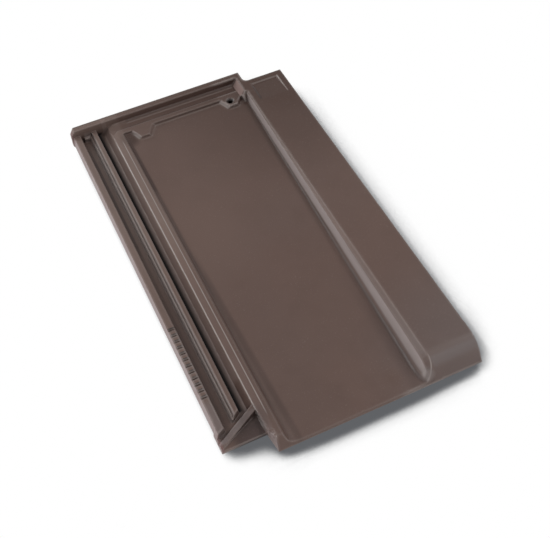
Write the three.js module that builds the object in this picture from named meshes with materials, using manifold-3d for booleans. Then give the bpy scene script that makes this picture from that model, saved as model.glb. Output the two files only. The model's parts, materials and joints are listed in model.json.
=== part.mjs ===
// Flat interlocking clay roof tile, pressed and fired as one piece of clay.
//
// Units are millimetres and +Z is up. The tile lies as it would on a level floor, on the
// foot rib and the two hanging nibs of its underside. X runs across the tile from the
// side interlock to the cover, and Y runs up the slope of the roof from the foot to the
// head. The origin is below the middle of the tile, on the floor.
//
// Inside this file the tile is drawn from its own corner: x = 0 at the outer edge of the
// interlock, y = 0 at the lower edge of the foot, z = 0 at the parting line round the foot.

import * as THREE from 'three';
import { mergeVertices } from 'three/addons/utils/BufferGeometryUtils.js';
import Module from 'manifold-3d';

// ---------------------------------------------------------------- driving dimensions

// Overall
const tileLength = 470;
const tileWidth = 262.6;
const coverTop = 21; // top of the cover and the rim above the parting line of the foot
const footClearance = 12; // parting line of the foot above the floor
const partingUndercut = 0.75; // run of the draft under the parting line for each mm of depth
const easedLength = 0.9; // how much of each side a rounded arris takes
const easedSteps = 2;
const overlap = 1; // how far solids run into each other, and cuts run past a surface

// Cover, the raised strip that laps over the neighbour's interlock
const coverWidth = 50.7;
const coverThickness = 7.5;
const coverHeadSetback = 18.6; // from the head of the tile
const coverEdgeDraft = 1.2;
const coverHollowDraft = 2;
const coverRibDepth = 6.3; // two ribs under the cover that hang in the neighbour's grooves
const coverRibDraft = 0.8;
const coverRibFromFoot = 62;
const coverRibFromHead = 15.4; // from the head of the cover
const sideGap = 1.6; // play between two neighbours side by side

// Shallow wedge sunk into the head of the cover, deepest at its head end
const wedgeFromCrest = 8.4;
const wedgeFromEdge = 7.8;
const wedgeFromHead = 5.6;
const wedgeLength = 33;
const wedgeDepth = 1.8;
const wedgeSideRun = 2;
const wedgeHeadRun = 4;

// Pan, the flat part that carries the water
const panHeadTop = 11; // height of the pan's surface at the head
const panFootTop = 2.5; // and at the foot
const panFilletRunAtHead = 3; // from the border down to the pan
const panFilletRunAtFoot = 17;
const panFilletPull = [[0.13, 0.91], [0.3, 0.94]]; // bends of the fillet, in shares of run and drop
const panFilletSteps = 7;

// Roll, the slope between the pan and the crest of the cover
const rollRunAtHead = 2.3;
const rollRunAtFoot = 20.9;
const shoulderRunAtHead = 0.9; // gentle band below the crest
const shoulderRunAtFoot = 6.4;
const shoulderDropAtHead = 1.2;
const shoulderDropAtFoot = 4.2;
const rollPull = [[0.7, 0], [0.72, 0.42]]; // bends of its curve, in shares of run and rise
const rollSteps = 9;
const rollSag = 0.09; // how far the roll bends below the cover at the foot

// Foot, where the tile bends down over the tile below
const noseRadius = 26;
const noseSlopeDegrees = 58;
const noseSlopeTop = 8.8; // height where the straight front meets the bend
const noseArcSteps = 10;
const bendSections = [0, 1.5, 3, 5, 7, 9.5, 12.5, 16, 20, 24]; // places of the deck's sections
const deckSections = [90, 190, 290];
const footWall = 9; // wall of the bend under the cover

// Interlock, the strip with two grooves at the left
const interlockFoot = 19.5;
const interlockFootDraft = 0.9;
const grooveFloor = 4.5;
const interlockUnderside = -2;
const ribTop = 13;
const outerRibLeft = 2.9; // edges of the ribs' tops
const outerRibRight = 10.2;
const innerRibLeft = 24.1;
const innerRibRight = 29.3;
const ribDraft = 1.3; // lean of a rib's wall down to the groove
const ledgeLeft = 20.8; // low ledge along the inner rib
const ledgeTop = 9;
const ledgeDraft = 0.6;
const outerRibFoot = 34.2; // ends of the ribs, cut at a slant beside the dam
const outerRibSlant = 0.53;
const innerRibFoot = 45.9;
const innerRibSlant = 0.7;

// Outer wall of the interlock, which flares out at the foot and below the rim
const outerWallFoot = 1.2; // inset of the wall at the parting line
const rimFlareLength = 3; // the wall steps out below the rim over this length
const flareEnd = 41; // the flare at the foot runs up to here
const flareLength = 2.5;
const damFacetLean = 0.57; // lean of the facet at the low end of the dam
const cornerLean = 0.11;

// Border between the inner groove and the pan
const grooveFilletX = 34.8; // groove floor, fillet and slope up to the border
const borderSlopeX = 38;
const borderSlopeRise = 0.9;
const borderEdgeX = 43.6;
const borderEdgeTop = 12;
const borderCrestX = 50.9;
const borderCrestTop = 13.7;
const borderInnerX = 56;
const borderInnerTop = 13.5;
const borderWallX = 44; // wall of the border beside the foot of the interlock
const borderWallFlare = 1;
const borderWallLean = 1.3;
const borderWallUpright = 0.7; // share of that lean lost at the head end of this wall
const borderWallTop = 12.4;
const borderCornerX = 47.4; // lower corner of the border at the foot
const borderCornerShoulder = 4;
const borderCornerRun = 1.2;
const borderCornerCrest = 1.5;

// Drainage notches across the outer rib
const notchCount = 12;
const notchStart = 74.7;
const notchPitch = 7.68;
const notchWidth = 2.2;
const notchDepth = 2.2;
const notchClearance = 0.2; // of the cut above the rib

// Diagonal dam that turns the water of the grooves onto the tile below
const damTop = 11.3; // at the border
const damLowTop = 5; // at the outer wall
const damWidth = 6.3;
const damSlant = 0.508; // rise of the dam in plan for each mm across
const damLowY = 28.2; // upper edge of the dam at the outer wall

// Head rim and channel
const rimThickness = 8;
const rimWallLean = 1.6;
const rimPastCrest = 2.6;
const rimShoulder = 15; // the left end leans in from here up
const rimShoulderRun = 4.4;
const rimCornerRadius = 4.2;
const rimTopCornerRadius = 1.9;
const rimCornerSteps = 3;
const rimNotchRadius = 5.5; // rounded corner between the rim and the cover
const rimHeadDraft = 1; // lean of the head face below its own parting line
const rimHeadParting = 8;
const channelWidth = 13;
const channelFloor = 12;
const channelFilletRun = 4.4; // fillet at the foot of the rim
const channelFilletRise = 0.9;
const channelFilletTop = 2.2; // where the fillet meets the rim's wall, above the floor
const channelWallRun = 1;
const channelMouthRun = 6.5; // the channel widens into the inner groove

// Terrace between the channel and the pan, with two lobes
const terraceWidth = 6.6;
const terraceTop = 13.7;
const terraceArris = 0.4; // rounding of the upper edge
const terraceSideDraft = 1.8;
const terraceFootDraft = 0.5;
const terraceFilletRun = 1.4;
const terraceFilletRise = 0.5;
const lobeReach = 14.5;
const lobeTaper = 5.2; // spread of a lobe's left side
const lobeRound = 3.4;
const lobeRoundPull = 0.8;
const lobeRoundSteps = 4;
const lobeCrook = 3.6; // hollow corner between a lobe's right side and the terrace
const leftLobeFromBorder = 16.4;
const leftLobeWidth = 13.2;
const leftLobeSpread = 6.3; // of its right side
const nailLobeLeft = 5; // from the nail hole
const nailLobeRight = 7.8;
const nailLobeSpread = 9.2;

// Slope at the right end of the channel, up to the crest
const channelEndFromCrest = 3.2;
const channelEndRun = 6.4;
const channelEndReach = 6.3; // how far its top goes past the terrace towards the foot
const channelEndLean = 6.2; // run of its foot face down to the pan
const channelEndSkew = 2.6;
const channelEndCorner = [2.5, 1.3]; // blunt corner beside the nail hole's lobe

// Block that closes the outer groove at the rim
const grooveBlockGap = 3.8;
const grooveBlockLength = 4.6;
const grooveBlockSlant = 1.8;
const grooveBlockTop = 8.5;
const grooveBlockDraft = 0.5;

// Nail hole
const nailFromCrest = 23;
const nailFromHead = 34.6;
const nailRadius = 2.7;
const countersinkRadius = 5;
const countersinkDepth = 2;
const nailHoleSides = 20;

// Underside
const headUnderside = -2; // flat zone that lies on the batten
const footUnderside = -7.5;
const nibFromHead = 26;
const battenWidth = 48;
const nibWidth = 36;
const nibLength = 13;
const nibDraft = 1.6;
const leftNibFromBorder = 24; // from the border to the middle of the nib
const rightNibFromCrest = 29.9;
const footRibFromBorder = 18;
const footRibFromCrest = 21.9;
const footRibFromFoot = 10;
const footRibWidth = 7;
const footRibDraft = 1.5;

// Pockets in the underside, between stiffening ribs
const pocketDepth = 2.4;
const pocketDraft = 2;
const pocketMargin = 10; // from the border, and from the batten's seat
const pocketFromCrest = 16;
const pocketFromFoot = 34;
const pocketRows = 3;
const pocketColumns = 2;
const pocketRibWidth = 12;

// Places that follow from the sizes above
const crestX = tileWidth - coverWidth;
const coverHeadEnd = tileLength - coverHeadSetback;
const rimFootEdge = tileLength - rimThickness;
const channelFoot = rimFootEdge - channelWidth - 1;
const terraceFoot = channelFoot - terraceWidth;
const nailX = crestX - nailFromCrest;
const nailY = tileLength - nailFromHead;
const nibFootFace = tileLength - nibFromHead;
const supportFoot = nibFootFace - battenWidth;
const outerWallLean = (outerRibLeft - outerWallFoot) / ribTop;

// ---------------------------------------------------------------- solids and booleans

const wasm = await Module();
wasm.setup();

// A closed geometry as a solid that can be joined and cut.
function solidOf(geometry) {
  const bare = geometry.clone();
  bare.deleteAttribute('normal');
  bare.deleteAttribute('uv');
  const merged = mergeVertices(bare, 1e-4);
  return new wasm.Manifold(new wasm.Mesh({
    numProp: 3,
    vertProperties: new Float32Array(merged.attributes.position.array),
    triVerts: new Uint32Array(merged.index.array),
  }));
}

function geometryOf(solid) {
  const mesh = solid.getMesh();
  const geometry = new THREE.BufferGeometry();
  geometry.setAttribute('position', new THREE.BufferAttribute(mesh.vertProperties, 3));
  geometry.setIndex(new THREE.BufferAttribute(mesh.triVerts, 1));
  geometry.computeVertexNormals();
  return geometry;
}

const joined = (solids) => solids.reduce((whole, solid) => whole.add(solid));
const mix = (from, to, share) => from + (to - from) * share;

function extrusion(outline, depth) {
  const shape = new THREE.Shape(outline.map(([u, v]) => new THREE.Vector2(u, v)));
  return new THREE.ExtrudeGeometry(shape, { depth, bevelEnabled: false, steps: 1 });
}

// An [x, z] outline pushed along Y from one place to another.
function alongY(outline, from, to) {
  const geometry = extrusion(outline, to - from);
  geometry.rotateX(Math.PI / 2);
  geometry.translate(0, to, 0);
  return solidOf(geometry);
}

// A [y, z] outline pushed along X.
function alongX(outline, from, to) {
  const geometry = extrusion(outline, to - from);
  const axes = new THREE.Matrix4().makeBasis(
    new THREE.Vector3(0, 1, 0), new THREE.Vector3(0, 0, 1), new THREE.Vector3(1, 0, 0));
  geometry.applyMatrix4(axes);
  geometry.translate(from, 0, 0);
  return solidOf(geometry);
}

// An [x, y] outline pushed up.
function alongZ(outline, from, to) {
  const geometry = extrusion(outline, to - from);
  geometry.translate(0, 0, from);
  return solidOf(geometry);
}

// An outline with the numbered corners rounded over a short length of their two sides.
function eased(outline, corners) {
  return outline.flatMap(([u, v], index) => {
    if (!corners.includes(index)) return [[u, v]];
    const corner = new THREE.Vector2(u, v);
    const towards = (neighbour) => new THREE.Vector2(...neighbour).sub(corner)
      .setLength(easedLength).add(corner);
    const before = towards(outline[(index + outline.length - 1) % outline.length]);
    const after = towards(outline[(index + 1) % outline.length]);
    return new THREE.QuadraticBezierCurve(before, corner, after).getPoints(easedSteps)
      .map((point) => [point.x, point.y]);
  });
}

// A solid through a row of rings with the same number of points, capped at both ends.
// Each ring runs counter-clockwise seen from outside the first cap.
function loft(rings, capAxes) {
  const [u, v] = capAxes;
  const count = rings[0].length;
  const positions = rings.flat(2);
  const faces = [];
  for (let ring = 0; ring + 1 < rings.length; ring += 1) {
    for (let point = 0; point < count; point += 1) {
      const next = (point + 1) % count;
      const a = ring * count + point;
      const b = ring * count + next;
      faces.push(a, b + count, b, a, a + count, b + count);
    }
  }
  const capOf = (ring) => THREE.ShapeUtils.triangulateShape(
    ring.map((point) => new THREE.Vector2(point[u], point[v])), []);
  const last = (rings.length - 1) * count;
  for (const [a, b, c] of capOf(rings[0])) faces.push(a, b, c);
  for (const [a, b, c] of capOf(rings[rings.length - 1])) faces.push(last + a, last + c, last + b);
  const geometry = new THREE.BufferGeometry();
  geometry.setAttribute('position', new THREE.BufferAttribute(new Float32Array(positions), 3));
  geometry.setIndex(faces);
  return solidOf(geometry);
}

// Rings of [x, z] outlines at places along Y, and of [x, y] outlines at heights.
const loftAlongY = (sections) => loft(
  sections.map(([y, outline]) => outline.map(([x, z]) => [x, y, z])), [0, 2]);
const loftAlongZ = (sections) => loft(
  sections.map(([z, outline]) => [...outline].reverse().map(([x, y]) => [x, y, z])), [1, 0]);

const rectangle = ([left, foot, right, head]) => [
  [left, foot], [right, foot], [right, head], [left, head]];
const grown = ([left, foot, right, head], by) => [left - by, foot - by, right + by, head + by];

// ---------------------------------------------------------------- heights along the tile

const share = (y) => THREE.MathUtils.clamp(y / tileLength, 0, 1);
const panTop = (y) => mix(panFootTop, panHeadTop, share(y));
const undersideAt = (y) => (y >= supportFoot ? headUnderside
  : mix(footUnderside, headUnderside, y / supportFoot));

// Side view of the bend at the foot: a straight front, then an arc up to the cover.
const noseSlope = THREE.MathUtils.degToRad(noseSlopeDegrees);
const noseStart = noseSlopeTop / Math.tan(noseSlope);
const noseArcCentreZ = coverTop - noseRadius;
const noseArcAngle = Math.acos((noseSlopeTop - noseArcCentreZ) / noseRadius);
const noseArcCentreY = noseStart + noseRadius * Math.sin(noseArcAngle);

function noseHeight(y) {
  if (y <= noseStart) return Math.max(y, 0) * Math.tan(noseSlope);
  if (y >= noseArcCentreY) return coverTop;
  return noseArcCentreZ + Math.sqrt(noseRadius ** 2 - (noseArcCentreY - y) ** 2);
}

function noseArc(inset) {
  const points = [];
  const radius = noseRadius - inset;
  for (let step = 0; step <= noseArcSteps; step += 1) {
    const angle = mix(noseArcAngle, 0, step / noseArcSteps);
    points.push([noseArcCentreY - radius * Math.sin(angle), noseArcCentreZ + radius * Math.cos(angle)]);
  }
  return points;
}

// ---------------------------------------------------------------- deck: pan, roll and border

// The wall of the border and its fillet down to the pan, from the top.
function borderFillet(y) {
  const run = mix(panFilletRunAtFoot, panFilletRunAtHead, share(y));
  const drop = borderInnerTop - panTop(y);
  const at = ([across, down]) => new THREE.Vector2(
    borderInnerX + run * across, borderInnerTop - drop * down);
  const curve = new THREE.CubicBezierCurve(at([0, 0]), ...panFilletPull.map(at), at([1, 1]));
  return curve.getPoints(panFilletSteps).map((point) => [point.x, point.y]);
}

// The outside of the border, from the parting line up to its crest. At the foot the wall
// and the band above it run together into one slope.
function borderOutside(y) {
  const up = THREE.MathUtils.clamp(y / interlockFoot, 0, 1);
  const along = THREE.MathUtils.clamp((y - interlockFoot) / (flareEnd - interlockFoot), 0, 1);
  const wall = borderWallX + borderWallFlare * (1 - along);
  return [
    [mix(borderCornerX, wall, up), 0],
    [mix(borderCornerX + borderCornerRun, wall + borderWallLean * (1 - up * borderWallUpright), up),
      mix(borderCornerShoulder, borderWallTop, up)],
    [mix(borderCornerX + borderCornerCrest, borderCrestX, Math.sqrt(up)), borderCrestTop],
  ];
}

// The roll from the pan up to the crest. Near the foot it bends down with the cover.
function rollFlank(y) {
  const along = share(y);
  const pan = panTop(y);
  const panRight = crestX - mix(rollRunAtFoot, rollRunAtHead, along);
  const shoulderX = crestX - mix(shoulderRunAtFoot, shoulderRunAtHead, along);
  const shoulderZ = coverTop - mix(shoulderDropAtFoot, shoulderDropAtHead, along);
  const run = shoulderX - panRight;
  const rise = shoulderZ - pan;
  const at = ([across, up]) => new THREE.Vector2(panRight + run * across, pan + rise * up);
  const curve = new THREE.CubicBezierCurve(at([0, 0]), ...rollPull.map(at), at([1, 1]));
  const height = noseHeight(y) / coverTop;
  const bend = Math.max(height - rollSag * (1 - height), 0);
  const profile = [...curve.getPoints(rollSteps).map((point) => [point.x, point.y]),
    [crestX, coverTop]];
  return profile.map(([x, z]) => [x, pan + (z - pan) * bend]);
}

function deckSection(y) {
  const under = undersideAt(y);
  const wall = crestX + coverThickness;
  const flank = rollFlank(y).reverse();
  const outside = borderOutside(y);
  return [
    [outside[0][0] - partingUndercut * under, under],
    [wall, under],
    [wall, flank[0][1] - overlap],
    ...flank,
    ...borderFillet(y).reverse(),
    ...outside.reverse(),
  ];
}

function deck() {
  const bend = bendSections.filter((y) => y < noseArcCentreY);
  const stations = [...bend, noseArcCentreY, flareEnd, ...deckSections]
    .filter((y) => y < supportFoot - overlap);
  return loftAlongY([...stations, supportFoot, coverHeadEnd].map((y) => [y, deckSection(y)]));
}

// ---------------------------------------------------------------- cover

const coverUnderside = coverTop - coverThickness;

function cover() {
  const outline = [
    [crestX, headUnderside],
    [crestX + coverThickness, headUnderside],
    [crestX + coverThickness + coverHollowDraft, coverUnderside],
    [tileWidth - coverEdgeDraft, coverUnderside],
    [tileWidth, coverTop],
    [crestX, coverTop],
  ];
  return alongY(eased(outline, [3, 4]), 0, coverHeadEnd);
}

// The front wall of the cover: the bend carried down to the parting line.
function coverFront() {
  const inner = noseArc(footWall).filter(([y, z]) => z > 0 && y > footWall);
  const outline = [
    [0, 0],
    [footWall, 0],
    ...inner,
    [noseArcCentreY + footWall, coverUnderside],
    [noseArcCentreY + footWall, coverTop],
    [0, coverTop],
  ];
  return alongX(outline, crestX, tileWidth);
}

function coverWedge() {
  const head = coverHeadEnd - wedgeFromHead;
  const deep = head - wedgeHeadRun;
  const foot = head - wedgeLength;
  const left = crestX + wedgeFromCrest;
  const right = tileWidth - wedgeFromEdge;
  const above = coverTop + overlap;
  const sideways = alongX([
    [foot, coverTop], [deep, coverTop - wedgeDepth], [head, coverTop], [head, above], [foot, above],
  ], left, right);
  const slope = wedgeSideRun / wedgeDepth;
  const lengthways = alongY([
    [left + wedgeSideRun, coverTop - wedgeDepth], [right - wedgeSideRun, coverTop - wedgeDepth],
    [right + slope, above], [left - slope, above],
  ], foot - overlap, head + overlap);
  return sideways.intersect(lengthways);
}

// A rib under the cover that stands in one of the neighbour's grooves.
function coverRib(grooveLeft, grooveRight) {
  const pitch = tileWidth - borderEdgeX + sideGap;
  const left = pitch + grooveLeft + sideGap;
  const right = pitch + grooveRight - sideGap;
  const outline = [
    [left + coverRibDraft, coverUnderside - coverRibDepth],
    [right - coverRibDraft, coverUnderside - coverRibDepth],
    [right, coverUnderside + overlap],
    [left, coverUnderside + overlap],
  ];
  return alongY(eased(outline, [0, 1]), coverRibFromFoot, coverHeadEnd - coverRibFromHead);
}

// ---------------------------------------------------------------- interlock

function interlockPlate() {
  const outline = [
    [interlockFoot, grooveFloor],
    [interlockFoot + interlockFootDraft, 0],
    [interlockFoot + interlockFootDraft - partingUndercut * interlockUnderside, interlockUnderside],
    [rimFootEdge, interlockUnderside],
    [rimFootEdge, grooveFloor],
  ];
  return alongX(outline, 0, borderCrestX);
}

// A rib of the interlock, with its foot end cut at a slant in plan.
function rib(outline, corners, [left, right], foot, slant) {
  const footAt = (x) => foot + (x - left) * slant;
  const reach = right - left;
  const end = alongZ([
    [left - reach, interlockFoot - reach],
    [right + reach, interlockFoot - reach],
    [right + reach, footAt(right + reach)],
    [left - reach, footAt(left - reach)],
  ], interlockUnderside, coverTop);
  return alongY(eased(outline, corners), interlockFoot, rimFootEdge).subtract(end);
}

function outerRib() {
  const root = grooveFloor - overlap;
  return rib([
    [0, root],
    [outerRibRight + ribDraft, root],
    [outerRibRight, ribTop],
    [outerRibLeft, ribTop],
  ], [2, 3], [outerRibLeft, outerRibRight], outerRibFoot, outerRibSlant);
}

function innerRib() {
  const root = grooveFloor - overlap;
  return rib([
    [ledgeLeft - ledgeDraft, root],
    [innerRibRight + ribDraft, root],
    [innerRibRight, ribTop],
    [innerRibLeft, ribTop],
    [innerRibLeft - ledgeDraft, ledgeTop],
    [ledgeLeft, ledgeTop],
  ], [2, 3, 5], [innerRibLeft, innerRibRight], innerRibFoot, innerRibSlant);
}

// The slope from the inner groove up to the border of the pan.
function borderSlope() {
  const root = grooveFloor - overlap;
  const outline = [
    [grooveFilletX, root],
    [borderCrestX, root],
    [borderCrestX, borderCrestTop],
    [borderEdgeX, borderEdgeTop],
    [borderSlopeX, grooveFloor + borderSlopeRise],
    [grooveFilletX, grooveFloor],
  ];
  const foot = damLowY + (borderEdgeX - damWidth / 2) * damSlant;
  return alongY(eased(outline, [3]), foot, rimFootEdge);
}

// The dam's top falls from the border towards the outer wall.
function diagonalDam() {
  const across = damWidth * Math.sqrt(1 + damSlant ** 2);
  const reach = borderEdgeX + borderWallLean + overlap;
  const root = grooveFloor - overlap;
  const plan = alongZ([
    [0, damLowY - across],
    [reach, damLowY - across + reach * damSlant],
    [reach, damLowY + reach * damSlant],
    [0, damLowY],
  ], root, damTop);
  const side = alongY([
    [0, root],
    [reach, root],
    [reach, damTop],
    [0, damLowTop],
  ], interlockFoot - overlap, damLowY + (reach + damWidth) * damSlant);
  return plan.intersect(side);
}

function drainNotches() {
  const notches = [];
  for (let index = 0; index < notchCount; index += 1) {
    const centre = notchStart + index * notchPitch;
    notches.push(alongX([
      [centre, ribTop - notchDepth],
      [centre + notchWidth / 2, ribTop + notchClearance],
      [centre - notchWidth / 2, ribTop + notchClearance],
    ], outerRibLeft, outerRibRight + ribDraft));
  }
  return joined(notches);
}

// ---------------------------------------------------------------- head

// The plan of the rim, with its rounded corner at the left.
function rimPlan(left, right, radius) {
  const plan = new THREE.Path();
  plan.moveTo(right, rimFootEdge - channelWidth);
  plan.lineTo(right, tileLength);
  plan.absarc(left + radius, tileLength - radius, radius, Math.PI / 2, Math.PI, false);
  plan.lineTo(left, rimFootEdge - channelWidth);
  return plan.getPoints(rimCornerSteps).map((point) => [point.x, point.y]);
}

// The rim across the head. Its left end stands upright and leans in at the top.
function headRim() {
  const lean = rimWallLean / (coverTop - grooveFloor);
  const outline = [
    [rimFootEdge - lean * (coverTop - headUnderside), headUnderside],
    [tileLength - rimHeadDraft, headUnderside],
    [tileLength, rimHeadParting],
    [tileLength, coverTop],
    [rimFootEdge, coverTop],
  ];
  const right = crestX + rimPastCrest;
  const bar = alongX(eased(outline, [3, 4]), 0, right);
  return bar.intersect(loftAlongZ([
    [headUnderside, rimPlan(0, right, rimCornerRadius)],
    [rimShoulder, rimPlan(0, right, rimCornerRadius)],
    [coverTop, rimPlan(rimShoulderRun, right, rimTopCornerRadius)],
  ]));
}

// The stretch of the crest between the cover and the rim, with its rounded corner.
function headCorner() {
  const right = crestX + rimPastCrest;
  const plan = new THREE.Shape();
  plan.moveTo(crestX, coverHeadEnd - overlap);
  plan.lineTo(right + rimNotchRadius, coverHeadEnd - overlap);
  plan.lineTo(right + rimNotchRadius, coverHeadEnd);
  plan.absarc(right + rimNotchRadius, coverHeadEnd + rimNotchRadius, rimNotchRadius,
    -Math.PI / 2, Math.PI, true);
  plan.lineTo(right, rimFootEdge + overlap);
  plan.lineTo(crestX, rimFootEdge + overlap);
  const depth = coverTop - headUnderside;
  const block = new THREE.ExtrudeGeometry(plan, { depth, bevelEnabled: false, curveSegments: 5 });
  block.translate(0, 0, headUnderside);
  return solidOf(block);
}

// The plan of the terrace with its two lobes, moved out at its foot and at the lobes' sides.
function terraceOutline(side, foot) {
  const edge = terraceFoot - foot;
  const tip = edge - lobeReach;
  const plan = new THREE.Path();
  const addLobe = (left, right, spread) => {
    plan.lineTo(left - lobeTaper, edge);
    plan.lineTo(left, tip + lobeRound);
    plan.quadraticCurveTo(left + lobeRoundPull, tip, left + lobeRound, tip);
    plan.lineTo(right - lobeRound, tip);
    plan.quadraticCurveTo(right - lobeRoundPull, tip, right, tip + lobeRound);
    plan.lineTo(right + spread * (1 - lobeCrook / lobeReach), edge - lobeCrook);
  };
  const leftLobe = borderInnerX + leftLobeFromBorder;
  const leftLobeEnd = leftLobe + leftLobeWidth + side;
  plan.moveTo(borderCrestX, edge);
  addLobe(leftLobe - side, leftLobeEnd, leftLobeSpread);
  plan.quadraticCurveTo(leftLobeEnd + leftLobeSpread, edge,
    leftLobeEnd + leftLobeSpread + lobeCrook, edge);
  addLobe(nailX - nailLobeLeft - side, nailX + nailLobeRight + side, nailLobeSpread);
  plan.lineTo(crestX + overlap, edge - lobeCrook);
  plan.lineTo(crestX + overlap, rimFootEdge + overlap);
  plan.lineTo(borderCrestX, rimFootEdge + overlap);
  return plan.getPoints(lobeRoundSteps).map((point) => [point.x, point.y]);
}

function terrace() {
  const pan = panTop(terraceFoot);
  const base = terraceOutline(terraceSideDraft + terraceFilletRun,
    terraceFootDraft + terraceFilletRun);
  return loftAlongZ([
    [headUnderside, base],
    [pan - terraceFilletRise, base],
    [pan + terraceFilletRise, terraceOutline(terraceSideDraft, terraceFootDraft)],
    [terraceTop - terraceArris, terraceOutline(0, 0)],
    [terraceTop, terraceOutline(-terraceArris, -terraceArris)],
  ]);
}

// The slope at the right end of the channel, as an [x, z] outline up to the crest.
const channelEndTop = crestX - channelEndFromCrest;
const channelEndSlope = [[channelEndTop - channelEndRun, channelFloor], [channelEndTop, coverTop]];

// Its foot face leans down to the pan beside the nail hole's lobe.
function channelEnd() {
  const [low, top] = channelEndSlope;
  const foot = terraceFoot - channelEndReach;
  const head = rimFootEdge + overlap;
  const right = crestX + overlap;
  const profile = alongY([
    [low[0], headUnderside], [right, headUnderside], [right, coverTop], top, low,
  ], foot - channelEndLean, head);
  const plan = (lean, skew) => [
    [low[0] - overlap, terraceFoot],
    [low[0] + channelEndCorner[0], foot + channelEndCorner[1]],
    [top[0] - skew, foot - lean],
    [right, foot - lean],
    [right, head],
    [low[0] - overlap, head],
  ];
  const base = plan(channelEndLean, channelEndSkew);
  return profile.intersect(loftAlongZ([
    [headUnderside, base], [panTop(foot), base], [coverTop, plan(0, 0)],
  ]));
}

// The channel below the rim. It widens at its left end, where it runs into the groove.
function headChannel() {
  const above = coverTop + overlap;
  const wallFoot = rimFootEdge - channelWallRun;
  const mouth = channelFoot - channelMouthRun;
  const profile = alongX([
    [mouth, channelFloor],
    [wallFoot - channelFilletRun, channelFloor],
    [wallFoot - channelWallRun, channelFloor + channelFilletRise],
    [wallFoot, channelFloor + channelFilletTop],
    [rimFootEdge, coverTop],
    [rimFootEdge, above],
    [mouth, above],
  ], innerRibRight + ribDraft, crestX);
  const plan = alongZ([
    [innerRibRight, mouth],
    [borderEdgeX, mouth],
    [borderCrestX, channelFoot],
    [crestX, channelFoot],
    [crestX, tileLength],
    [innerRibRight, tileLength],
  ], channelFloor - overlap, above + overlap);
  const [low, top] = channelEndSlope;
  const slope = (top[0] - low[0]) / (top[1] - low[1]) * overlap;
  const side = alongY([
    [0, channelFloor - overlap],
    [low[0] - slope, channelFloor - overlap],
    [top[0] + slope * 2, above + overlap],
    [0, above + overlap],
  ], mouth - overlap, tileLength);
  return profile.intersect(plan).intersect(side);
}

function grooveBlock() {
  const foot = rimFootEdge - grooveBlockLength;
  const left = outerRibRight + grooveBlockGap;
  const plan = (margin) => [
    [left - margin, foot - margin],
    [left + grooveBlockLength, foot - margin],
    [ledgeLeft + overlap, foot - margin + grooveBlockSlant],
    [ledgeLeft + overlap, rimFootEdge],
    [left - margin, rimFootEdge],
  ];
  return loftAlongZ([[grooveFloor - overlap, plan(grooveBlockDraft)], [grooveBlockTop, plan(0)]]);
}

function nailHole() {
  const top = terraceTop + overlap;
  const bottom = headUnderside - overlap;
  const bore = new THREE.CylinderGeometry(nailRadius, nailRadius, top - bottom, nailHoleSides);
  bore.rotateX(Math.PI / 2);
  bore.translate(nailX, nailY, (top + bottom) / 2);
  const flare = (countersinkRadius - nailRadius) / countersinkDepth * overlap;
  const depth = countersinkDepth + overlap;
  const sink = new THREE.CylinderGeometry(
    countersinkRadius + flare, nailRadius, depth, nailHoleSides);
  sink.rotateX(Math.PI / 2);
  sink.translate(nailX, nailY, top - depth / 2);
  return solidOf(bore).add(solidOf(sink));
}

// ---------------------------------------------------------------- underside

function hangingNib(centre) {
  const half = nibWidth / 2;
  const tip = [centre - half, nibFootFace, centre + half, nibFootFace + nibLength - nibDraft];
  const root = [centre - half - nibDraft, nibFootFace, centre + half + nibDraft,
    nibFootFace + nibLength + nibDraft];
  return loftAlongZ([[-footClearance, rectangle(tip)], [headUnderside + overlap, rectangle(root)]]);
}

function footRib() {
  const tip = [borderInnerX + footRibFromBorder, footRibFromFoot,
    crestX - footRibFromCrest, footRibFromFoot + footRibWidth];
  return loftAlongZ([[-footClearance, rectangle(tip)],
    [footUnderside + footRibDraft, rectangle(grown(tip, footRibDraft))]]);
}

// One shallow pocket between the stiffening ribs, following the slope of the underside.
function pocket(sides) {
  const ring = (inset, raise) => {
    const corners = rectangle(grown(sides, -inset)).reverse();
    return corners.map(([x, y]) => [x, y, undersideAt(y) + raise]);
  };
  return loft([ring(-pocketDraft, -pocketDepth), ring(pocketDraft, pocketDepth)], [1, 0]);
}

function undersidePockets() {
  const left = borderInnerX + pocketMargin;
  const head = supportFoot - pocketMargin;
  const widths = crestX - pocketFromCrest - left - pocketRibWidth * (pocketColumns - 1);
  const lengths = head - pocketFromFoot - pocketRibWidth * (pocketRows - 1);
  const width = widths / pocketColumns;
  const length = lengths / pocketRows;
  const pockets = [];
  for (let column = 0; column < pocketColumns; column += 1) {
    const side = left + column * (width + pocketRibWidth);
    for (let row = 0; row < pocketRows; row += 1) {
      const foot = pocketFromFoot + row * (length + pocketRibWidth);
      pockets.push(pocket([side, foot, side + width, foot + length]));
    }
  }
  return joined(pockets);
}

// ---------------------------------------------------------------- outer limits

// Everything under the outer surface of the bend at the foot.
function footLimit() {
  const outline = [
    [partingUndercut * footClearance, -footClearance],
    [tileLength, -footClearance],
    [tileLength, coverTop],
    ...noseArc(0).reverse(),
    [0, 0],
  ];
  return alongX(outline, 0, tileWidth);
}

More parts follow.
